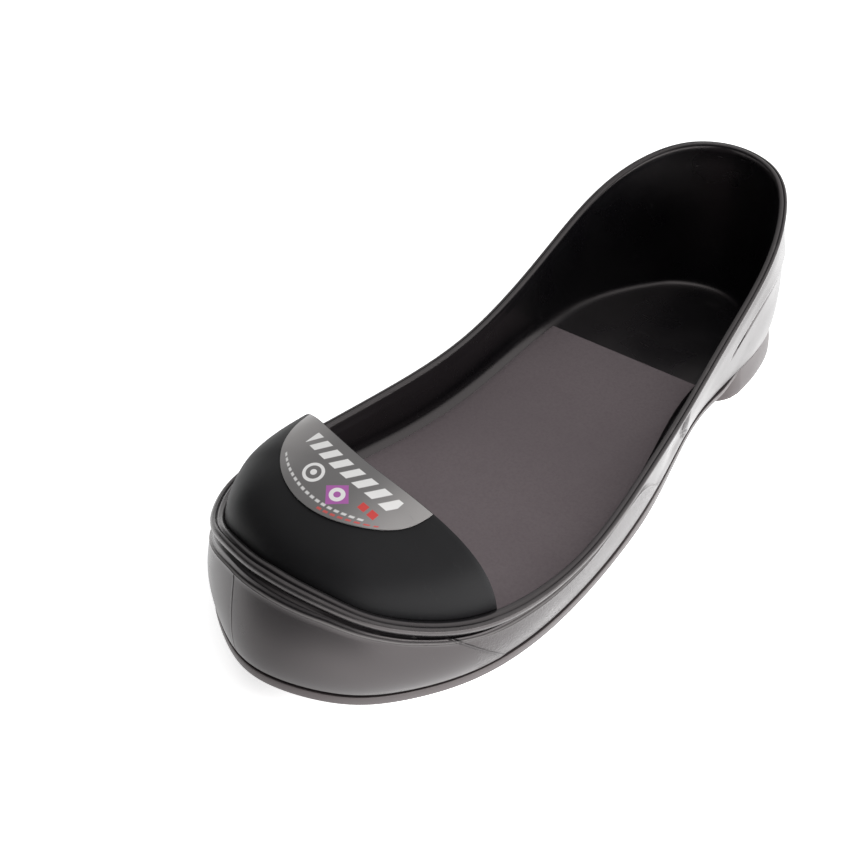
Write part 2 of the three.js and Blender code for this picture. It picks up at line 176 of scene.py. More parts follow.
class Wall:
    """The wall sections run into one smooth loop of stations around the overshoe."""

    def __init__(self):
        table = np.array([row[1:] for row in SECTIONS], float)
        t = np.arange(AROUND) / AROUND * len(table)
        i = np.floor(t).astype(int)
        w = (t - i)[:, None]
        before, here, after, beyond = (table[(i + step) % len(table)] for step in (-1, 0, 1, 2))
        curve = 2 * here + (after - before) * w
        curve += (2 * before - 5 * here + 4 * after - beyond) * w ** 2
        curve += (3 * here - before - 3 * after + beyond) * w ** 3
        curve *= 0.5
        curve = run_smooth(curve, LOOP_PASSES)
        curve[:, 2:4] = run_smooth(curve[:, 2:4], RIM_PASSES)
        self.x, self.y, self.inset, self.rim, self.bulge = curve.T
        tangent = np.roll(curve[:, :2], -1, 0) - np.roll(curve[:, :2], 1, 0)
        tangent /= np.linalg.norm(tangent, axis=1)[:, None]
        self.out = np.stack([tangent[:, 1], -tangent[:, 0]], 1)
        self.seam = seam_at(self.y)
        self.foot = SEAM_INSET + HEEL_TUCK["depth"] * ease(*HEEL_TUCK["span"], self.y)
        line_y, outer, inner = np.array(RELIEF_LINE).T
        on_outer = ease(-SIDE_BLEND, SIDE_BLEND, self.x)
        line = np.interp(self.y, line_y, outer) * on_outer
        line += np.interp(self.y, line_y, inner) * (1 - on_outer)
        line = np.minimum(line, self.rim - LINE_UNDER_RIM)
        self.line = run_smooth(line[:, None], LINE_PASSES)[:, 0]
        mirrored = (-np.arange(AROUND)) % AROUND
        self.pair_y = (self.y + self.y[mirrored]) / 2

    def at(self, inset, height):
        """A ring of points, inset from the sole's edge, at a height or heights."""
        inset = np.broadcast_to(inset, self.x.shape)[:, None]
        flat = np.stack([self.x, self.y], 1) - self.out * inset
        return np.column_stack([flat, np.broadcast_to(height, self.x.shape)])

    def inset_at(self, height):
        """How far the bare wall stands in from the sole's edge at a height."""
        share = np.clip((height - self.seam) / (self.rim - self.seam), 0, 1)
        lean = self.foot + (self.inset - self.foot) * share
        return lean - self.bulge * np.sin(math.pi * share ** BULGE_SKEW)

    def spine(self, height_at, front=-105, rear=100):
        """The middle line that floors and soles close on, each station paired with the one across."""
        y = np.clip(self.pair_y, front, rear)
        return np.column_stack([np.zeros_like(y), y, height_at(y)])


wall = Wall()


def blend_rings(start, end, shares, height_at=None):
    rings = []
    for share in shares:
        ring = start + (end - start) * share
        if height_at is not None:
            ring[:, 2] = height_at(ring[:, 1])
        rings.append(ring)
    return rings


def side_of(edge, y, height):
    """Distance in front of (+) or behind (-) an edge drawn across the wall."""
    points = np.array(edge, float)
    nearest = np.full(np.shape(y), np.inf)
    side = np.ones(np.shape(y))
    for a, b in zip(points[:-1], points[1:]):
        run = b - a
        share = np.clip(((y - a[0]) * run[0] + (height - a[1]) * run[1]) / (run @ run), 0, 1)
        away = np.hypot(y - a[0] - run[0] * share, height - a[1] - run[1] * share)
        cross = run[1] * (y - a[0]) - run[0] * (height - a[1])
        side = np.where(away < nearest, np.sign(cross), side)
        nearest = np.minimum(away, nearest)
    return nearest * side


# Modelling steps, with sizes in metres for the shapes that each piece starts from

START_DEPTH = 0.01
WELD = 2e-6


def deselect():
    bpy.ops.object.select_all(action="DESELECT")


def choose(piece):
    deselect()
    piece.select_set(True)
    bpy.context.view_layer.objects.active = piece


def weld(piece, face_outwards=True):
    choose(piece)
    bpy.ops.object.mode_set(mode="EDIT")
    bpy.ops.mesh.select_all(action="SELECT")
    bpy.ops.mesh.remove_doubles(threshold=WELD)
    if face_outwards:
        bpy.ops.mesh.normals_make_consistent(inside=False)
    bpy.ops.object.mode_set(mode="OBJECT")


def add_circle(name, count):
    deselect()
    bpy.ops.mesh.primitive_circle_add(vertices=count, radius=0.05)
    circle = bpy.context.active_object
    circle.name = name
    return circle


def points_of(piece):
    flat = np.zeros(len(piece.data.vertices) * 3)
    piece.data.vertices.foreach_get("co", flat)
    return flat.reshape(-1, 3)


def put_points(piece, points):
    """Moves a mesh's points, given in table millimetres, to their place in the frame."""
    piece.data.vertices.foreach_set("co", ((points - MIDDLE) * MM).ravel())
    piece.data.update()


def put_mark(piece, name, values):
    """Stores one value for each point, for the finishes to read."""
    mark = piece.data.attributes.new(name, "FLOAT", "POINT")
    mark.data.foreach_set("value", values)


def loft(name, rings, marks=None):
    """A closed skin: a circle is extruded ring after ring and its points are moved onto the rings.

    marks gives attribute values, one for each ring or one for each ring and station.
    """
    count = len(rings[0])
    skin = add_circle(name, count)
    station = skin.data.attributes.new("station", "INT", "POINT")
    station.data.foreach_set("value", np.arange(count))
    bpy.ops.object.mode_set(mode="EDIT")
    bpy.ops.mesh.select_mode(type="EDGE")
    bpy.ops.mesh.select_all(action="SELECT")
    for _ in rings[1:]:
        bpy.ops.mesh.extrude_edges_move(TRANSFORM_OT_translate={"value": (0, 0, MM)})
    bpy.ops.object.mode_set(mode="OBJECT")
    stations = np.zeros(len(skin.data.vertices), int)
    skin.data.attributes["station"].data.foreach_get("value", stations)
    layers = np.arange(len(stations)) // count
    put_points(skin, np.array(rings)[layers, stations])
    skin.data.attributes.remove(skin.data.attributes["station"])
    for label, values in (marks or {}).items():
        spread = np.array(values, float).reshape(len(rings), -1) * np.ones(count)
        put_mark(skin, label, spread[layers, stations])
    weld(skin)
    return skin


def sheet(name, points):
    """A grid shaped over a table of points [column, row], with the column and row of each vertex."""
    columns, rows = points.shape[0] - 1, points.shape[1] - 1
    deselect()
    bpy.ops.mesh.primitive_grid_add(x_subdivisions=columns, y_subdivisions=rows, size=1.0)
    grid = bpy.context.active_object
    grid.name = name
    flat = points_of(grid)
    column = np.rint((flat[:, 0] + 0.5) * columns).astype(int)
    row = np.rint((flat[:, 1] + 0.5) * rows).astype(int)
    put_points(grid, points[column, row])
    return grid, column, row


def apply_modifier(piece, kind, **settings):
    choose(piece)
    modifier = piece.modifiers.new(kind.lower(), kind)
    for key, value in settings.items():
        setattr(modifier, key, value)
    bpy.ops.object.modifier_apply(modifier=modifier.name)


def round_edges(piece, width, angle):
    """Bevels the edges that turn by more than an angle in degrees."""
    limit = math.radians(angle)
    apply_modifier(piece, "BEVEL", width=width * MM, segments=2, limit_method="ANGLE", angle_limit=limit)


def join(pieces, name):
    deselect()
    for piece in pieces:
        piece.select_set(True)
    bpy.context.view_layer.objects.active = pieces[0]
    bpy.ops.object.join()
    pieces[0].name = name
    return pieces[0]


def finish_piece(piece, node, material, angle=40):
    choose(piece)
    bpy.ops.object.shade_smooth_by_angle(angle=math.radians(angle))
    piece.data.materials.clear()
    piece.data.materials.append(material)
    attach(piece, "root")
    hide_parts(node)


# Upper: one skin from the seam, up the relief of the wall, over the rim and down to the inside floor

# Foot of the wall: the flat under it, and its lower edge as (inset, height), flatter at the heel
UNDERSIDE_EDGE = 9
FOOT_WIDTH = 1.0
FOOT_ROUND = [(0.4, 0.02), (0.15, 0.2), (0.02, 0.6)]
FOOT_AT_HEEL = {"span": (70, 95), "flatter": 0.75, "drop": 0.22}

# Relief of the wall: how far each form stands out or in, how soft it is, and where it runs
TOE_SPAN = (-92, -112)
LINE_SOFT = 0.35
SEAM_FADE = (1, 9)
PANEL = {"step": 0.9, "at_toe": 0.5, "end": (4, 11.5)}
STIPPLE = {"start": (-112, -106), "end": (2, 8)}
GUARD = {"step": 0.3, "soft": 0.8, "rear": -80}
COUNTER = {"soft": 1.2, "front": 10}
SCOOP = {"depth": 0.9, "y": 24, "width": 9}
COLLAR = {"step": 1.0, "span": (76, 112), "fade": 9}
SLIT = {"depth": 1.5, "below": 0.35, "width": 0.55, "span": (73, 80)}
RIDGE = {"height": 0.3, "below": 0.1, "width": 0.4, "end": (2, 10)}

# Rings up the wall: below the relief line, close around it, and on the band above it, which sinks in
WALL_START = 1.2
LINE_OVER_SEAM = 2.6
LINE_CLEAR = 0.8
LINE_STEPS = (-0.5, -0.25, 0, 0.25, 0.5)
PANEL_RINGS = 22
BAND = {"rings": 14, "sink": 0.5, "toe_sink": 0.4, "under_rim": 3.9}

# Rim section: out from the rim line and up from it, from the groove under the bead to the inner lip
RIM_SECTION = [
    (-0.35, -3.6), (0.1, -3.35), (0.75, -3.0), (1.2, -2.4), (1.45, -1.7), (1.4, -1.0), (1.05, -0.45),
    (0.5, -0.2), (0.0, -0.3), (-0.35, -0.75), (-0.65, -0.45), (-1.05, -0.1), (-1.6, 0), (-2.3, -0.02),
    (-2.9, -0.25), (-3.35, -0.8), (-3.6, -1.7), (-3.6, -3.0), (-3.45, -4.6),
]
BEAD = {"toe": 1.26, "side_loss": 0.44, "side": (-125, -55), "heel_loss": 0.06, "heel": (20, 110)}
LIP_LOSS = {"share": 0.3, "span": (-95, -55)}

# Inside of the wall: rings down from the brim, and a fillet at its foot, drawn in at the heel
INSIDE_RINGS = 12
BRIM_UNDER_RIM = 6.2
FILLET = {"radius": 6.0, "heel_loss": 2.5, "span": (60, 110), "turns": (15, 30, 45, 60, 75, 90)}
HEEL_CUP = {"depth": 9, "span": (80, 140)}


def wall_relief(height):
    """How far the wall stands out from its bare line at a height on every station."""
    y = wall.y
    over_line = height - wall.line
    above = ease(-LINE_SOFT, LINE_SOFT, over_line)
    behind_panel = ease(*PANEL["end"], y)
    off_seam = ease(*SEAM_FADE, height - wall.seam)
    panel_step = PANEL["step"] * (1 - PANEL["at_toe"] * ease(*TOE_SPAN, y))
    relief = -panel_step * above * (1 - behind_panel) - PANEL["step"] * behind_panel * off_seam
    guard = ease(-GUARD["soft"], GUARD["soft"], side_of(GUARD_END, y, height)) * (1 - above)
    relief += GUARD["step"] * guard * (y < GUARD["rear"])
    counter = ease(-COUNTER["soft"], COUNTER["soft"], -side_of(COUNTER_FRONT, y, height))
    counter *= y > COUNTER["front"]
    relief += PANEL["step"] * counter * off_seam
    scoop = np.exp(-((y - SCOOP["y"]) / SCOOP["width"]) ** 2)
    scoop *= np.sin(math.pi * np.clip(height / wall.rim, 0, 1))
    relief -= SCOOP["depth"] * scoop * (1 - counter) * off_seam
    overhang = np.exp(-np.maximum(0, over_line) / COLLAR["fade"])
    relief += COLLAR["step"] * ease(*COLLAR["span"], y) * above * overhang
    slit = np.exp(-((over_line + SLIT["below"]) / SLIT["width"]) ** 2) * ease(*SLIT["span"], y)
    ridge = np.exp(-((over_line + RIDGE["below"]) / RIDGE["width"]) ** 2) * (1 - ease(*RIDGE["end"], y))
    return relief - SLIT["depth"] * slit + RIDGE["height"] * ridge


def foot_rings():
    """Out along the underside and round the wall's lower edge."""
    edge = wall.at(UNDERSIDE_EDGE, wall.seam)
    yield from blend_rings(wall.spine(seam_at), edge, (0, 0.5, 1), seam_at)
    yield wall.at(wall.foot + FOOT_WIDTH, wall.seam)
    at_heel = ease(*FOOT_AT_HEEL["span"], wall.y)
    size = 1 - FOOT_AT_HEEL["flatter"] * at_heel
    for inset, up in FOOT_ROUND:
        height = wall.seam + up * size - FOOT_AT_HEEL["drop"] * at_heel
        yield wall.at(wall.foot + inset * size, height)


def outside_rings(bead):
    """Up the outside of the wall with its relief, to the groove under the bead."""
    low = wall.seam + WALL_START
    line = np.maximum(wall.line, wall.seam + LINE_OVER_SEAM)
    top = wall.rim - BAND["under_rim"] * bead
    band_sink = BAND["sink"] + BAND["toe_sink"] * ease(*TOE_SPAN, wall.y)

    def ring_at(height, sink=0.0):
        return wall.at(wall.inset_at(height) - wall_relief(height) + sink, height)

    for share in np.linspace(0, 1, PANEL_RINGS):
        yield ring_at(low + (line - LINE_CLEAR - low) * share)
    for step in LINE_STEPS:
        yield ring_at(line + step)
    for share in np.linspace(0, 1, BAND["rings"]):
        height = line + LINE_CLEAR + (top - line - LINE_CLEAR) * share
        yield ring_at(height, band_sink * ease(0.5, 1, share))


def rim_rings(bead):
    lip = 1 - LIP_LOSS["share"] * ease(*LIP_LOSS["span"], wall.y)
    for out, up in RIM_SECTION:
        reach = out * (bead if out > 0 else lip)
        yield wall.at(wall.inset - reach, wall.rim + up * bead)


def inside_rings(bead):
    """Down the inside of the wall, round the fillet at its foot and over the floor."""
    floor = floor_at(wall.y)
    brim = wall.rim - BRIM_UNDER_RIM * bead
    fillet = FILLET["radius"] - FILLET["heel_loss"] * ease(*FILLET["span"], wall.y)
    heel_cup = HEEL_CUP["depth"] * ease(*HEEL_CUP["span"], wall.y)
    for share in np.linspace(0, 1, INSIDE_RINGS):
        height = brim + (floor + fillet - brim) * share
        yield wall.at(wall.inset_at(height) + WALL + heel_cup * share, height)
    foot = wall.inset_at(floor + fillet) + WALL + heel_cup
    for turn in FILLET["turns"]:
        angle = math.radians(turn)
        edge = wall.at(foot + fillet * (1 - math.cos(angle)), floor + fillet * (1 - math.sin(angle)))
        yield edge
    yield from blend_rings(edge, wall.spine(floor_at), (0.12, 0.3, 0.55, 0.8, 1), floor_at)


def make_upper():
    bead = BEAD["toe"] - BEAD["side_loss"] * ease(*BEAD["side"], wall.y)
    bead -= BEAD["heel_loss"] * ease(*BEAD["heel"], wall.y)
    rings = [*foot_rings()]
    first = len(rings)
    rings += outside_rings(bead)
    last = len(rings) - 1
    rings += [*rim_rings(bead), *inside_rings(bead)]
    line_from = first + PANEL_RINGS
    ridge_ring = line_from + LINE_STEPS.index(0)
    on_panel = ease(*STIPPLE["start"], wall.y) * (1 - ease(*STIPPLE["end"], wall.y))
    on_ridge = 1 - ease(*RIDGE["end"], wall.y)
    numbers = range(len(rings))
    marks = {
        "outer_wall": [float(first <= i < last) for i in numbers],
        "side_panel": [on_panel * (first <= i < line_from) for i in numbers],
        # Marks the ring on the guard's ridge line, where the finish paints a highlight
        "painted_ridge_highlight": [on_ridge * (i == ridge_ring) for i in numbers],
    }
    return loft("moulded_upper", rings, marks)


# Outsole: a slab with a rounded edge strip and a sunk tread field, a heel block, and lugs set on both

BORDER = 5.0
SOLE_TUCK = {"depth": 2.42, "span": (74, 98)}
FIELD_END = (-12, 14)

# Edge strip: inset, and share of the way from the sole's lower edge to its top
STRIP_SECTION = [
    (1.4, 1), (0.5, 1), (0.15, 0.97), (0, 0.9), (0, 0.6), (0, 0.3), (0.15, 0.16), (0.45, 0.06),
    (0.9, 0.015), (1.6, 0),
]

# Border and step up to the tread field: inset, and share of the field's depth
BORDER_SECTION = [(3.4, 0), (4.7, 0), (BORDER, 0.08), (5.25, 0.55), (5.5, 1), (7, 1)]

# Heel block: inset from its outline and height, from its top round to the field between its bars
HEEL_SECTION = [
    (4, 12.4), (2.25, 12.42), (2.12, 12.3), (2.0, 11.6), (1.5, 9), (1.0, 6), (0.7, 3), (0.7, 1.4),
    (1.0, 0.5), (1.6, 0.08), (2.2, 0), (BORDER + 1, 0), (BORDER + 1.3, 0.3), (BORDER + 1.5, TREAD),
]
HEEL_MIDDLE = {"place": (0.0, 112.0), "top": 12.2}
HEEL_PROUD = 0.12

# Lugs: how much they narrow, how deep they root in the sole, how far they stay off the ground
LUG = {"taper": 0.35, "root": 0.6, "clear": 0.06, "bevel": 0.4, "bevel_angle": 40}
BAR_WIDTH = 5.2
KEY_WIDTH = 5.6
MITRE = 0.35

# Side bars by the y of their corner: "edge" bars have it at the sole's edge, "inner" bars point inwards
SIDE_BARS = [
    # kind, y
    ("edge", -103), ("inner", -88), ("edge", -72), ("inner", -57), ("edge", -42), ("inner", -28),
    ("edge", -13),
]
BAR = {"reach": 23, "spread": 5.6, "off_border": 0.4, "corner_in": 5}

# Square keys in the middle of the tread, turned 45 degrees, and their bars along the diagonals u and v
KEYS = [
    # corner x, corner y, length of the outer arm
    (8, -98, 34), (-5, -74, 16),
]
KEY_OUTER = [(3, 3), (24, 3), (24, 12)]
KEY_INNER = [(12.5, 10), (12.5, 21), (31, 21), (31, 7)]
CROSS_LUGS = [
    [(-17, -103), (-9, -108.5), (3, -104.5)],
    [(-26, -92), (-22.5, -84.5), (-15.5, -79.5)],
    [(-19, -36), (-4, -27), (14, -27), (27, -34)],
    [(-9, -15.5), (3, -12), (15, -15.5)],
]
TOE_PAD = {"rear": -118, "inset": 4.7, "lower": 0.2, "notch": [(10, 0), (4, -5), (-7, -5), (-13, 0)]}
HEEL_BARS = {"front": 101, "pitch": 13, "width": 7, "peak": 4, "ends": 2}
HEEL_BAR_CUTS = (7.5, 7.5, 7.5, 13.5)


def sole_edge_at(y, sign):
    keep = (np.sign(wall.x) == sign) & (np.abs(wall.y) < 150)
    order = np.argsort(wall.y[keep])
    return np.interp(y, wall.y[keep][order], wall.x[keep][order])


def bar_outline(line, width):
    """A flat bar of even width along a bent line, with square ends and mitred corners."""
    points = np.array(line, float)
    runs = np.diff(points, axis=0)
    runs /= np.linalg.norm(runs, axis=1)[:, None]
    left, right = [], []
    for i, point in enumerate(points):
        back, fore = runs[max(i - 1, 0)], runs[min(i, len(runs) - 1)]
        across = np.array([-(back + fore)[1], (back + fore)[0]])
        across /= np.linalg.norm(across)
        reach = width / 2 / max(MITRE, across @ np.array([-fore[1], fore[0]]))
        left.append(point + across * reach)
        right.append(point - across * reach)
    return np.array(left + right[::-1])


def lug(outline, lift_at, lower=0.0):
    """A tapered block on the sole: its outline is filled, extruded down and bevelled."""
    count = len(outline)
    block = add_circle("lug", count)
    bpy.ops.object.mode_set(mode="EDIT")
    bpy.ops.mesh.select_all(action="SELECT")
    bpy.ops.mesh.edge_face_add()
    bpy.ops.mesh.extrude_region_move(TRANSFORM_OT_translate={"value": (0, 0, -START_DEPTH)})
    bpy.ops.object.mode_set(mode="OBJECT")
    inwards = outline.mean(0) - outline
    narrow = outline + inwards / np.linalg.norm(inwards, axis=1)[:, None] * LUG["taper"]
    root = np.column_stack([outline, lift_at(outline[:, 1]) + TREAD + LUG["root"] - lower])
    face = np.column_stack([narrow, lift_at(narrow[:, 1]) + LUG["clear"] - lower])
    flat = points_of(block)
    turn = np.arctan2(-flat[:, 0], flat[:, 1])
    corner = np.rint(turn / (2 * math.pi) * count).astype(int) % count
    put_points(block, np.where(flat[:, 2:] > -START_DEPTH / 2, root[corner], face[corner]))
    weld(block)
    round_edges(block, LUG["bevel"], LUG["bevel_angle"])
    return block


def side_bars():
    for sign in (1, -1):
        for kind, y in SIDE_BARS:
            edge = sole_edge_at(y, sign) - sign * (BORDER + BAR["off_border"])
            inner = edge - sign * BAR["reach"]
            corner, ends = (edge - sign * BAR["corner_in"], inner) if kind == "edge" else (inner, edge)
            line = [(ends, y - BAR["spread"]), (corner, y), (ends, y + BAR["spread"])]
            yield bar_outline(line, BAR_WIDTH)


def key_bars():
    for x, y, arm in KEYS:
        outer_arm = (KEY_OUTER[0][0], arm)
        for line in ([outer_arm] + KEY_OUTER, KEY_INNER):
            bent = [(x + (u - v) / math.sqrt(2), y + (u + v) / math.sqrt(2)) for u, v in line]
            yield bar_outline(bent, KEY_WIDTH)


def toe_pad_outline():
    edge = wall.at(TOE_PAD["inset"], 0)[:, :2]
    front = np.concatenate([edge[-AROUND // 3:], edge[:AROUND // 3]])
    front = front[front[:, 1] < TOE_PAD["rear"]][::3]
    notch = [(x, TOE_PAD["rear"] + y) for x, y in TOE_PAD["notch"]]
    return np.concatenate([front, notch])


def heel_outline():
    """The heel block's edge round the back, then its bowed breast across the front."""
    ring = wall.at(-HEEL_PROUD, 0)[:, :2]
    side = ring[ring[:, 1] > HEEL_BREAST["corner"]]
    start, end = side[-1], side[0]
    across = np.linspace(0, 1, HEEL_BREAST["points"])[1:-1]
    front = start + (end - start) * across[:, None]
    front[:, 1] -= HEEL_BREAST["bow"] * np.sqrt(1 - (2 * across - 1) ** 2)
    return np.concatenate([side, front])


def inset_outline(outline, inset):
    ahead = np.roll(outline, -1, 0) - np.roll(outline, 1, 0)
    ahead /= np.linalg.norm(ahead, axis=1)[:, None]
    return outline - np.stack([ahead[:, 1], -ahead[:, 0]], 1) * inset


def make_heel_block():
    outline = heel_outline()
    count = len(outline)
    edges = [(inset_outline(outline, inset), np.full(count, height)) for inset, height in HEEL_SECTION]
    rings = [np.column_stack(edge) for edge in edges]
    top = np.tile((*HEEL_MIDDLE["place"], HEEL_MIDDLE["top"]), (count, 1))
    field = np.tile((*HEEL_MIDDLE["place"], TREAD), (count, 1))
    rings = blend_rings(top, rings[0], (0, 0.6)) + rings + blend_rings(rings[-1], field, (0.4, 1))
    return loft("heel_block", rings)


def heel_bars():
    for i, cut in enumerate(HEEL_BAR_CUTS):
        y = HEEL_BARS["front"] + HEEL_BARS["pitch"] * i
        left, right = sole_edge_at(y, -1) + cut, sole_edge_at(y, 1) - cut
        ends = y + HEEL_BARS["ends"]
        line = [(left, ends), (0, y - HEEL_BARS["peak"]), (right, ends)]
        yield bar_outline(line, HEEL_BARS["width"])


def field_at(y):
    """The sunk face between the lugs, which runs out at the shank."""
    return sole_low_at(y) + TREAD * (1 - ease(*FIELD_END, y))


def make_slab():
    low, top = sole_low_at(wall.y), sole_top_at(wall.y)
    tuck = SOLE_TUCK["depth"] * ease(*SOLE_TUCK["span"], wall.y)
    rings = blend_rings(wall.spine(sole_top_at), wall.at(6, top), (0, 0.5, 1), sole_top_at)
    for inset, share in STRIP_SECTION:
        rings.append(wall.at(inset + tuck, low + (top - low) * share))
    for inset, share in BORDER_SECTION:
        ring = wall.at(inset, 0)
        y = ring[:, 1]
        ring[:, 2] = sole_low_at(y) + (field_at(y) - sole_low_at(y)) * share
        rings.append(ring)
    rings += blend_rings(rings[-1], wall.spine(field_at), (0.25, 0.5, 0.75, 1), field_at)
    return loft("outsole_slab", rings)


def make_outsole():
    plain = [make_slab(), make_heel_block()]
    lugs = [lug(outline, spring_at) for outline in (*side_bars(), *key_bars())]
    lugs += [lug(bar_outline(line, BAR_WIDTH), spring_at) for line in CROSS_LUGS]
    lugs.append(lug(toe_pad_outline(), spring_at, TOE_PAD["lower"]))
    lugs += [lug(outline, np.zeros_like) for outline in heel_bars()]
    for piece in plain + lugs:
        put_mark(piece, "pebble", np.full(len(piece.data.vertices), float(piece in lugs)))
    return join(plain + lugs, "treaded_outsole")


# Toe cap: a domed shell inside the rim, cut off along its rear edge

CAP_COLUMNS = 120
CAP_ROWS = 44

# How square the dome's section is at the toe, and where it grows rounder
CAP_SQUARE = {"toe": 2.9, "loss": 0.45, "span": (-150, -112)}


def cap_surface():
    """Points of the dome's outer face [column, row], each row spread between the cut ends."""
    reach = AROUND // 4
    stations = np.arange(-reach, reach + 1) % AROUND
    lip_inset = wall.inset + LIP + GAP
    lip = wall.at(lip_inset - CAP["lip_reach"], wall.rim - CAP["under_lip"])[stations]
    foot = wall.at(np.maximum(lip_inset, CAP["foot"]), floor_at(wall.y) + GAP)[stations]
    top_y = np.maximum(CAP["spine"], wall.pair_y)[stations]
    top = np.column_stack([np.zeros_like(top_y), top_y, np.full_like(top_y, CAP["crest"])])
    square = CAP_SQUARE["toe"] - CAP_SQUARE["loss"] * ease(*CAP_SQUARE["span"], wall.y)[stations]
    rows = [foot + (lip - foot) * share for share in (0, 0.4, 0.8)]
    for turn in np.linspace(0, math.pi / 2, CAP_ROWS - 2):
        over = 1 - np.cos(turn) ** (2 / square)
        up = np.sin(turn) ** (2 / square)
        row = lip + (top - lip) * over[:, None]
        row[:, 2] = lip[:, 2] + (top[:, 2] - lip[:, 2]) * up
        rows.append(row)
    cut = []
    for row in rows:
        behind = row[:, 1] - cap_edge_at(row[:, 0])
        kept = np.flatnonzero(behind < 0)
        first, last = kept[0], kept[-1]
        start = first - behind[first] / (behind[first] - behind[first - 1])
        end = last + behind[last] / (behind[last] - behind[last + 1])
        spread = np.linspace(start, end, CAP_COLUMNS + 1)
        cut.append(np.stack([np.interp(spread, np.arange(len(row)), row[:, i]) for i in range(3)], 1))
    points = np.stack(cut, 1)
    points[:, -1, 1] = (points[:, -1, 1] + points[::-1, -1, 1]) / 2
    return points


def make_toe_cap():
    cap = sheet("domed_toe_cap", cap_surface())[0]
    weld(cap, face_outwards=False)
    apply_modifier(cap, "SOLIDIFY", thickness=CAP["wall"] * MM, offset=-1.0, use_even_offset=True)
    round_edges(cap, 0.3, 55)
    return cap


# Label: a thin printed film along the cap's rear edge

LABEL_COLUMNS = 90
LABEL_ROWS = 36
LABEL_START = 20

# The film's print map holds millimetres times this
PRINT_MAP = 0.01


def make_label(cap):
    u = np.linspace(-1, 1, LABEL_COLUMNS + 1)
    x = np.linspace(LABEL["left"], LABEL["right"], LABEL_COLUMNS + 1)
    rear = cap_edge_at(x) - LABEL["setback"]
    depth = np.maximum(LABEL["corner"], LABEL["depth"] * np.sqrt(np.maximum(0, 1 - u * u)))
    down = np.linspace(1, 0, LABEL_ROWS + 1)
    y = rear[:, None] - depth[:, None] * down
    flat = np.stack(np.broadcast_arrays(x[:, None], y, CAP["crest"] + LABEL_START), 2)
    label, column, row = sheet("printed_toe_label", flat)
    corners = np.zeros(len(label.data.loops), int)
    label.data.loops.foreach_get("vertex_index", corners)
    print_place = np.stack([x[column], depth[column] * down[row]], 1) * PRINT_MAP
    label.data.uv_layers.active.data.foreach_set("uv", print_place[corners].ravel())
    put_mark(label, "toward_arc", down[row])
    apply_modifier(
        label, "SHRINKWRAP", target=cap, wrap_method="PROJECT", use_project_z=True,
        use_negative_direction=True, use_positive_direction=False, offset=GAP * MM,
    )
    apply_modifier(label, "SOLIDIFY", thickness=LABEL["film"] * MM, offset=1.0)
    return label


# Footbed: a thin loose sole lying on the inside floor, cut straight across at the heel

# Its section as (inset, height above its underside)
FOOTBED_SECTION = [
    (0.4, 0), (0, 0.3), (0, FOOTBED["thick"] - 0.6), (0.15, FOOTBED["thick"] - 0.2),
    (0.55, FOOTBED["thick"]), (3, FOOTBED["thick"]),
]


def footbed_low_at(y):
    return floor_at(y) + GAP


def footbed_top_at(y):
    return footbed_low_at(y) + FOOTBED["thick"]


def footbed_ring(inset, up):
    edge = np.maximum(FOOTBED["inset"], wall.inset + LIP + CAP["wall"] + 3 * GAP)
    flat = wall.at(edge + inset, 0)[:, :2]
    rear = FOOTBED["rear"] - inset
    behind = np.flatnonzero(flat[:, 1] > rear)
    first, last = behind[0], behind[-1]
    start, end = flat[first - 1, 0], flat[last + 1, 0]
    share = (np.arange(first, last + 1) - first) / (last - first)
    flat[first:last + 1, 0] = start + (end - start) * share
    flat[first:last + 1, 1] = rear
    return np.column_stack([flat, footbed_low_at(flat[:, 1]) + up])


def make_footbed():
    spine_rear = FOOTBED["rear"] - FOOTBED["spine_end"]
    middle = wall.spine(footbed_low_at, rear=spine_rear)
    rings = blend_rings(middle, footbed_ring(5, 0), (0, 0.5, 1), footbed_low_at)
    rings += [footbed_ring(inset, up) for inset, up in FOOTBED_SECTION]
    middle = wall.spine(footbed_top_at, rear=spine_rear)
    rings += blend_rings(rings[-1], middle, (0.2, 0.45, 0.7, 1), footbed_top_at)
    return loft("loose_footbed", rings)


# Finishes

def shader_group(name, values, results):
    """A node group that takes a place and the named values, and gives the named results."""
    group = bpy.data.node_groups.new(name, "ShaderNodeTree")
    group.interface.new_socket(name="Vector", in_out="INPUT", socket_type="NodeSocketVector")
    for way, labels in (("INPUT", values), ("OUTPUT", results)):
        for label in labels:
            group.interface.new_socket(name=label, in_out=way, socket_type="NodeSocketFloat")
    start = group.nodes.new("NodeGroupInput")
    end = group.nodes.new("NodeGroupOutput")
    return group, start.outputs, end.inputs


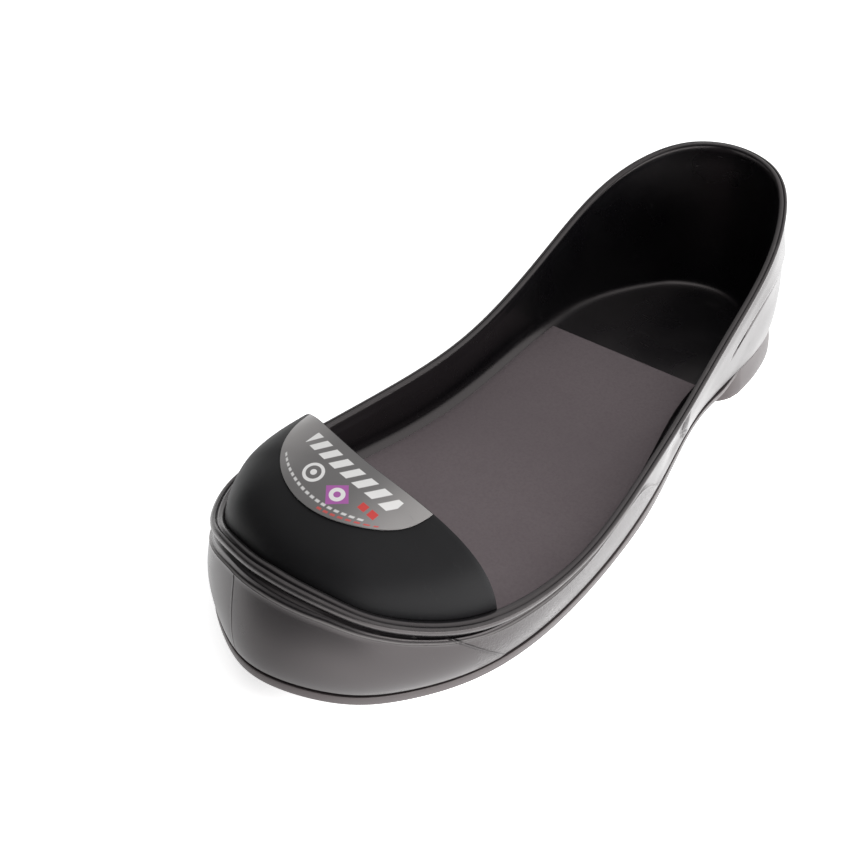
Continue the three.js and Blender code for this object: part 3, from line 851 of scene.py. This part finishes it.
class Finish:
    """Adds nodes to a material or group; a number or a socket may feed any input."""

    def __init__(self, tree):
        self.tree = tree

    def feed(self, socket, value):
        if isinstance(value, bpy.types.NodeSocket):
            self.tree.links.new(value, socket)
        else:
            socket.default_value = value

    def node(self, kind, inputs=None, **settings):
        made = self.tree.nodes.new(kind)
        for key, value in settings.items():
            setattr(made, key, value)
        for key, value in (inputs or {}).items():
            self.feed(made.inputs[key], value)
        return made

    def group(self, tree, inputs):
        return self.node("ShaderNodeGroup", inputs, node_tree=tree).outputs

    def mark(self, name):
        return self.node("ShaderNodeAttribute", attribute_name=name).outputs["Fac"]

    def split(self, vector):
        return self.node("ShaderNodeSeparateXYZ", {"Vector": vector}).outputs

    def facing_up(self):
        return self.split(self.node("ShaderNodeNewGeometry").outputs["Normal"])["Z"]

    def math(self, operation, a, b=0.0, c=0.0, clamp=False):
        inputs = {0: a, 1: b, 2: c}
        return self.node("ShaderNodeMath", inputs, operation=operation, use_clamp=clamp).outputs[0]

    def plus(self, a, b):
        return self.math("ADD", a, b)

    def minus(self, a, b):
        return self.math("SUBTRACT", a, b)

    def times(self, a, b):
        return self.math("MULTIPLY", a, b)

    def larger(self, a, b):
        return self.math("MAXIMUM", a, b)

    def size(self, value):
        return self.math("ABSOLUTE", value)

    def repeat(self, value, pitch):
        return self.math("FRACT", self.times(value, 1 / pitch))

    def length(self, a, b):
        return self.math("SQRT", self.plus(self.times(a, a), self.times(b, b)))

    def between(self, value, low, high, to_low=0.0, to_high=1.0):
        inputs = {"Value": value, "From Min": low, "From Max": high, "To Min": to_low, "To Max": to_high}
        made = self.node("ShaderNodeMapRange", inputs, interpolation_type="SMOOTHSTEP", clamp=True)
        return made.outputs["Result"]

    def noise(self, vector, scale, detail=4.0, roughness=0.5, distortion=0.0):
        inputs = {"Vector": vector, "Scale": scale, "Detail": detail, "Roughness": roughness}
        inputs["Distortion"] = distortion
        return self.node("ShaderNodeTexNoise", inputs).outputs["Fac"]

    def dots(self, vector, scale, randomness):
        inputs = {"Vector": vector, "Scale": scale, "Randomness": randomness}
        return self.node("ShaderNodeTexVoronoi", inputs, feature="F1").outputs["Distance"]

    def mix(self, share, a, b, kind="RGBA"):
        inputs = {"Factor": share, "A": a, "B": b}
        return self.node("ShaderNodeMix", inputs, data_type=kind).outputs["Result"]

    def mix_values(self, share, a, b):
        return self.mix(share, a, b, "FLOAT")

    def bump(self, height, strength, distance, normal=None):
        inputs = {"Height": height, "Strength": strength, "Distance": distance}
        if normal is not None:
            inputs["Normal"] = normal
        return self.node("ShaderNodeBump", inputs).outputs["Normal"]


def make_mould_skin():
    """Fine mould grain, broad patches of sheen, and sparse handling scuffs."""
    group, given, put = shader_group("mould skin", ["Grain Scale"], ["Grain", "Patch", "Scuff"])
    f = Finish(group)
    place = given["Vector"]
    grain = f.noise(place, given["Grain Scale"], detail=3.0, roughness=0.6)
    coarse = f.noise(place, 420.0, detail=2.0)
    f.feed(put["Grain"], f.mix_values(0.3, grain, coarse))
    f.feed(put["Patch"], f.between(f.noise(place, 26.0, detail=3.0), 0.3, 0.7))
    stretched = f.node("ShaderNodeMapping", {"Vector": place, "Scale": (0.25, 1.0, 0.6)}).outputs[0]
    streak = f.noise(stretched, 240.0, detail=6.0, roughness=0.7, distortion=0.8)
    f.feed(put["Scuff"], f.between(streak, 0.62, 0.72))
    return group


def make_edge_wear():
    """Where raised edges are rubbed paler and hollows keep dust."""
    group, given, put = shader_group("edge wear and dust", ["Spread"], ["Wear", "Dust"])
    f = Finish(group)
    bend = f.node("ShaderNodeNewGeometry").outputs["Pointiness"]
    rubbed = f.minus(bend, 0.5)
    patch = f.between(f.noise(given["Vector"], 120.0), 0.35, 0.65)
    wear = f.between(rubbed, 0.01, given["Spread"])
    f.feed(put["Wear"], f.times(wear, f.between(patch, 0, 1, 0.5, 1.0)))
    hollow = f.between(f.times(rubbed, -1.0), 0.01, given["Spread"])
    f.feed(put["Dust"], f.times(hollow, patch))
    return group


mould_skin = make_mould_skin()
edge_wear = make_edge_wear()

# Tint of the sheen on the vinyl and the rubber, and colours of the finishes
WARM_SHEEN = (1.0, 0.915, 0.915, 1)
VINYL = {
    "dark": (0.0052, 0.0048, 0.0060, 1), "pale": (0.0085, 0.0080, 0.0092, 1),
    # The ridge colour is a painted highlight along the toe guard's ridge line
    "worn": (0.09, 0.086, 0.085, 1), "scuffed": (0.06, 0.058, 0.057, 1), "ridge": (0.26, 0.25, 0.247, 1),
}
RUBBER = {
    "dark": (0.020, 0.0155, 0.016, 1), "pale": (0.030, 0.023, 0.0235, 1),
    "worn": (0.085, 0.072, 0.07, 1), "dusty": (0.12, 0.105, 0.095, 1),
}
ENAMEL = {
    "dark": (0.009, 0.0088, 0.0096, 1), "pale": (0.013, 0.0127, 0.0137, 1),
    "worn": (0.05, 0.05, 0.05, 1), "scuffed": (0.035, 0.034, 0.034, 1),
}
FILM = {
    "middle": (0.138, 0.132, 0.131, 1), "ends": (0.33, 0.315, 0.31, 1), "patch": (0.16, 0.153, 0.152, 1),
    "white": (0.86, 0.85, 0.84, 1), "purple": (0.42, 0.1, 0.4, 1), "red": (0.62, 0.035, 0.03, 1),
    "pale red": (0.6, 0.08, 0.07, 1), "scuffed": (0.1, 0.1, 0.1, 1),
}
FELT = {
    "dark": (0.148, 0.122, 0.130, 1), "pale": (0.166, 0.138, 0.146, 1),
    # The edge colour is painted shade on the footbed's sides and rounded edges
    "fibre": (0.108, 0.089, 0.095, 1), "painted edge shade": (0.025, 0.022, 0.023, 1),
}

# The mould seam down the toe guard: its lean, its x at the ground, its half width, and where it ends
PARTING = {"lean": -0.22, "x": -3.5, "core": 0.2, "edge": 0.7, "rear": (-130, -125), "top": (39, 41)}


def new_finish(name, ior=1.5):
    material = bpy.data.materials.new(name)
    material.use_nodes = True
    f = Finish(material.node_tree)
    shader = material.node_tree.nodes["Principled BSDF"]
    shader.inputs["IOR"].default_value = ior
    return material, f, shader.inputs, f.node("ShaderNodeTexCoord").outputs["Object"]


def worn_skin(f, place, colours, grain_scale, spread, worn):
    """The grain, the wear and the worn tint of a moulded or enamelled piece."""
    skin = f.group(mould_skin, {"Vector": place, "Grain Scale": grain_scale})
    wear = f.group(edge_wear, {"Vector": place, "Spread": spread})
    tint = f.mix(skin["Patch"], colours["dark"], colours["pale"])
    return skin, wear, f.mix(f.times(wear["Wear"], worn), tint, colours["worn"])


def line_height(f, y, z, edge, width):
    """A thin raised line along an edge drawn across the wall, as a bump height."""
    height = 0.0
    for (y0, z0), (y1, z1) in zip(edge[:-1], edge[1:]):
        run_y, run_z = y1 - y0, z1 - z0
        per_run = 1 / (run_y ** 2 + run_z ** 2) / MM
        from_y, from_z = f.minus(y, y0 * MM), f.minus(z, z0 * MM)
        along_y, along_z = f.times(from_y, run_y * per_run), f.times(from_z, run_z * per_run)
        along = f.math("ADD", along_y, along_z, clamp=True)
        gap_y = f.minus(from_y, f.times(along, run_y * MM))
        gap_z = f.minus(from_z, f.times(along, run_z * MM))
        height = f.larger(height, f.between(f.length(gap_y, gap_z), 0.0, width * MM, 1.0, 0.0))
    return height


def parting_line(f, x, y, z):
    seam_x = f.math("MULTIPLY_ADD", z, PARTING["lean"], PARTING["x"] * MM)
    away = f.size(f.minus(x, seam_x))
    line = f.between(away, PARTING["core"] * MM, PARTING["edge"] * MM, 1.0, 0.0)
    rear, top = np.array(PARTING["rear"]) * MM, np.array(PARTING["top"]) * MM
    toe_wall = f.times(f.between(y, *rear, 1.0, 0.0), f.between(z, *top, 1.0, 0.0))
    return f.times(line, toe_wall)


def make_upper_finish():
    material, f, shader, place = new_finish("black moulded vinyl", ior=1.6)
    shader["Specular Tint"].default_value = WARM_SHEEN
    in_tables = f.node("ShaderNodeVectorMath", {0: place, 1: MIDDLE * MM}, operation="ADD").outputs[0]
    x, y, z = f.split(in_tables)
    skin, _, tint = worn_skin(f, place, VINYL, grain_scale=2400.0, spread=0.08, worn=0.5)
    tint = f.mix(f.times(skin["Scuff"], 0.15), tint, VINYL["scuffed"])
    # Painted highlight: the ridge ring is tinted pale to stand in for the light it catches
    tint = f.mix(f.times(f.mark("painted_ridge_highlight"), 0.9), tint, VINYL["ridge"])
    f.feed(shader["Base Color"], tint)
    gloss = f.mix_values(skin["Patch"], 0.25, 0.34)
    f.feed(shader["Roughness"], f.plus(gloss, f.times(skin["Scuff"], 0.12)))
    guard_line = line_height(f, y, z, GUARD_END, width=0.7)
    counter_line = line_height(f, y, z, COUNTER_FRONT, width=0.8)
    lines = f.larger(parting_line(f, x, y, z), f.larger(guard_line, counter_line))
    crisp = f.bump(f.times(lines, f.mark("outer_wall")), strength=0.9, distance=0.6 * MM)
    stipple = f.times(f.dots(place, 1500.0, randomness=0.8), f.mark("side_panel"))
    stippled = f.bump(stipple, strength=0.55, distance=0.3 * MM, normal=crisp)
    grained = f.bump(skin["Grain"], strength=0.12, distance=0.12 * MM, normal=stippled)
    f.feed(shader["Normal"], grained)
    return material


def make_outsole_finish():
    material, f, shader, place = new_finish("brown black sole rubber", ior=1.65)
    shader["Specular Tint"].default_value = WARM_SHEEN
    skin, wear, tint = worn_skin(f, place, RUBBER, grain_scale=1800.0, spread=0.1, worn=0.5)
    tint = f.mix(f.times(wear["Dust"], 0.35), tint, RUBBER["dusty"])
    f.feed(shader["Base Color"], tint)
    f.feed(shader["Roughness"], f.mix_values(skin["Patch"], 0.36, 0.48))
    lug_faces = f.times(f.mark("pebble"), f.between(f.facing_up(), -0.95, -0.8, 1.0, 0.0))
    pebble = f.between(f.dots(place, 560.0, randomness=0.35), 0.1, 0.55, 1.0, 0.0)
    pebbled = f.bump(f.times(pebble, lug_faces), strength=0.9, distance=0.6 * MM)
    grained = f.bump(skin["Grain"], strength=0.15, distance=0.15 * MM, normal=pebbled)
    f.feed(shader["Normal"], grained)
    return material


def make_cap_finish():
    material, f, shader, place = new_finish("black enamelled cap")
    shader["Specular IOR Level"].default_value = 0.13
    skin, _, tint = worn_skin(f, place, ENAMEL, grain_scale=900.0, spread=0.12, worn=0.4)
    tint = f.mix(f.times(skin["Scuff"], 0.18), tint, ENAMEL["scuffed"])
    f.feed(shader["Base Color"], tint)
    gloss = f.mix_values(skin["Patch"], 0.46, 0.56)
    f.feed(shader["Roughness"], f.plus(gloss, f.times(skin["Scuff"], 0.12)))
    waved = f.bump(f.noise(place, 140.0, detail=2.0), strength=0.06, distance=0.6 * MM)
    f.feed(shader["Normal"], f.bump(skin["Grain"], strength=0.05, distance=0.1 * MM, normal=waved))
    return material


# Print on the label, in millimetres across the film (u) and in from its rear edge (v), and for the
# dashes as a share of the way to its arc
BARS = {"pitch": 6.2, "slant": 0.55, "fill": (0.2, 0.78), "u": (-24.0, 21.6), "v": (4.0, 10.5)}
RING = {"middle": (-9.5, 17.0), "band": (3.0, 4.3), "hub": (-1.0, 1.3)}
RHOMB = {"middle": (4.0, 17.5), "reach": (-1.0, 5.6), "disc": (1.3, 2.9)}
BLOCKS = {"pitch": 4.0, "fill": (0.12, 0.82), "u": (12.0, 20.0), "v": (13.5, 16.5)}
DASHES = {"pitch": 2.6, "fill": (0.1, 0.75)}
WHITE_DASHES = {"arc": (0.845, 0.885), "u": (-26.0, 18.0)}
RED_DASHES = {"arc": (0.92, 0.955), "u": (2.0, 22.0)}
PRINT_START = 60.0
PALE_ENDS = {"middle": 4.0, "span": (8.0, 34.0)}


def make_label_finish():
    """A grey film with slanted bars, a ring, a disc in a rhomb, two blocks, and dashes along its arc."""
    material, f, shader, place = new_finish("printed grey film", ior=1.48)
    spot = f.split(f.node("ShaderNodeTexCoord").outputs["UV"])
    u, v = f.times(spot["X"], 1 / PRINT_MAP), f.times(spot["Y"], 1 / PRINT_MAP)
    from_start = f.plus(u, PRINT_START)
    arc = f.mark("toward_arc")

    def inside(value, ends, soft=0.12):
        low, high = ends
        up = f.between(value, low - soft, low + soft)
        return f.times(up, f.between(value, high - soft, high + soft, 1.0, 0.0))

    def all_of(a, b, c):
        return f.times(f.times(a, b), c)

    def away_from(middle):
        return f.size(f.minus(u, middle[0])), f.size(f.minus(v, middle[1]))

    slanted = f.repeat(f.math("MULTIPLY_ADD", v, BARS["slant"], from_start), BARS["pitch"])
    bars = all_of(inside(slanted, BARS["fill"], 0.03), inside(v, BARS["v"]), inside(u, BARS["u"]))
    ring_away = f.length(*away_from(RING["middle"]))
    ring = f.larger(inside(ring_away, RING["band"]), inside(ring_away, RING["hub"]))
    rhomb = inside(f.plus(*away_from(RHOMB["middle"])), RHOMB["reach"])
    disc = inside(f.length(*away_from(RHOMB["middle"])), RHOMB["disc"])
    block = inside(f.repeat(u, BLOCKS["pitch"]), BLOCKS["fill"], 0.04)
    blocks = all_of(block, inside(v, BLOCKS["v"]), inside(u, BLOCKS["u"]))
    dash = inside(f.repeat(from_start, DASHES["pitch"]), DASHES["fill"], 0.06)
    rows = (WHITE_DASHES, RED_DASHES)
    white_dashes, red_dashes = (
        all_of(dash, inside(arc, row["arc"], 0.008), inside(u, row["u"])) for row in rows
    )

    skin = f.group(mould_skin, {"Vector": place, "Grain Scale": 3000.0})
    ends = f.between(f.size(f.plus(u, PALE_ENDS["middle"])), *PALE_ENDS["span"])
    tint = f.mix(ends, FILM["middle"], FILM["ends"])
    tint = f.mix(f.times(skin["Patch"], 0.15), tint, FILM["patch"])
    tint = f.mix(f.larger(bars, ring), tint, FILM["white"])
    tint = f.mix(rhomb, tint, FILM["purple"])
    tint = f.mix(disc, tint, FILM["white"])
    tint = f.mix(blocks, tint, FILM["red"])
    tint = f.mix(f.times(white_dashes, 0.8), tint, FILM["white"])
    tint = f.mix(red_dashes, tint, FILM["pale red"])
    tint = f.mix(f.times(skin["Scuff"], 0.2), tint, FILM["scuffed"])
    f.feed(shader["Base Color"], tint)
    f.feed(shader["Roughness"], f.mix_values(skin["Patch"], 0.26, 0.36))
    f.feed(shader["Normal"], f.bump(skin["Grain"], strength=0.06, distance=0.1 * MM))
    return material


def make_footbed_finish():
    material, f, shader, place = new_finish("grey brown footbed felt", ior=1.4)
    skin = f.group(mould_skin, {"Vector": place, "Grain Scale": 1500.0})
    fibre = f.noise(place, 900.0, detail=6.0, roughness=0.75)
    cloud = f.noise(place, 18.0)
    tint = f.mix(f.between(cloud, 0.3, 0.7), FELT["dark"], FELT["pale"])
    tint = f.mix(f.between(fibre, 0.35, 0.75, 0.0, 0.5), tint, FELT["fibre"])
    # Painted shade: faces that turn away from up, the footbed's sides and rounded edges, are darkened
    tint = f.mix(f.between(f.facing_up(), 0.55, 0.85, 1.0, 0.0), tint, FELT["painted edge shade"])
    f.feed(shader["Base Color"], tint)
    f.feed(shader["Roughness"], f.mix_values(skin["Patch"], 0.78, 0.92))
    f.feed(shader["Normal"], f.bump(fibre, strength=0.25, distance=0.3 * MM))
    return material


# Pieces

finish_piece(make_upper(), "upper", make_upper_finish())
finish_piece(make_outsole(), "outsole", make_outsole_finish(), angle=35)
toe_cap = make_toe_cap()
finish_piece(toe_cap, "toe_cap", make_cap_finish())
finish_piece(make_label(toe_cap), "toe_label", make_label_finish())
finish_piece(make_footbed(), "footbed", make_footbed_finish())


# White table, a sky that is bright above and behind and dark in front, one softbox, and the camera

def make_table():
    """The table glows, so that the wall mirrors it: most on the right, little in front and front left."""
    deselect()
    bpy.ops.mesh.primitive_plane_add(size=12.0, location=(0, 0, 0))
    table = bpy.context.active_object
    table.name = "white_table"
    material, f, shader, place = new_finish("white table")
    cloud = f.noise(place, 2.0)
    f.feed(shader["Base Color"], f.mix(cloud, (0.9, 0.9, 0.9, 1), (0.93, 0.93, 0.93, 1)))
    shader["Roughness"].default_value = 0.7
    spot = f.split(place)
    on_right = f.between(spot["X"], -0.01, 0.066, 0.18, 0.58)
    not_in_front = f.between(spot["Y"], -0.36, -0.25, 0.01, 1.0)
    front_left = f.math("MULTIPLY_ADD", spot["X"], -0.605, f.times(spot["Y"], -0.797))
    not_front_left = f.between(front_left, 0.215, 0.33, 1.0, 0.01)
    glow = f.times(f.times(on_right, not_in_front), not_front_left)
    f.feed(shader["Emission Color"], f.mix(glow, (0, 0, 0, 1), (1, 1, 1, 1)))
    shader["Emission Strength"].default_value = 3.75
    table.data.materials.append(material)


def make_sky():
    world = bpy.data.worlds.new("studio")
    world.use_nodes = True
    bpy.context.scene.world = world
    f = Finish(world.node_tree)
    background = world.node_tree.nodes["Background"]
    background.inputs["Color"].default_value = (1, 1, 1, 1)
    way = f.split(f.node("ShaderNodeTexCoord").outputs["Generated"])
    up_and_back = f.math("MULTIPLY_ADD", way["Z"], 0.8, f.times(way["Y"], 0.6))
    dome = f.between(up_and_back, 0.15, 0.65, 0.03, 1.4)
    f.feed(background.inputs["Strength"], f.times(dome, f.between(way["X"], -0.8, 0.3, 0.5, 1.0)))


def add_softbox(name, place, aim, size, power):
    deselect()
    bpy.ops.object.light_add(type="AREA", location=Vector(place) * MM)
    lamp = bpy.context.active_object
    lamp.name = name
    lamp.data.shape = "RECTANGLE"
    lamp.data.size, lamp.data.size_y = size
    lamp.data.energy = power
    lamp.rotation_euler = (Vector(aim) - Vector(place)).to_track_quat("-Z", "Y").to_euler()


def make_camera():
    place = Vector(CAMERA["place"]) - Vector(MIDDLE)
    aim = Vector(CAMERA["aim"]) - Vector(MIDDLE)
    back = (place - aim).normalized()
    turn = back.to_track_quat("Z", "Y").to_matrix().to_4x4()
    turn = turn @ Matrix.Rotation(math.radians(CAMERA["roll"]), 4, "Z")
    camera = bpy.data.objects.new("camera", bpy.data.cameras.new("camera"))
    bpy.context.scene.collection.objects.link(camera)
    camera.matrix_world = Matrix.Translation(place * MM) @ turn
    camera.data.lens = CAMERA["lens"]
    bpy.context.scene.camera = camera


make_table()
make_sky()
add_softbox("softbox_right", place=(900, 60, 70), aim=(0, 20, 30), size=(1.4, 0.16), power=4)
make_camera()
bpy.context.scene.view_settings.view_transform = "Standard"
bpy.context.scene.view_settings.look = "None"
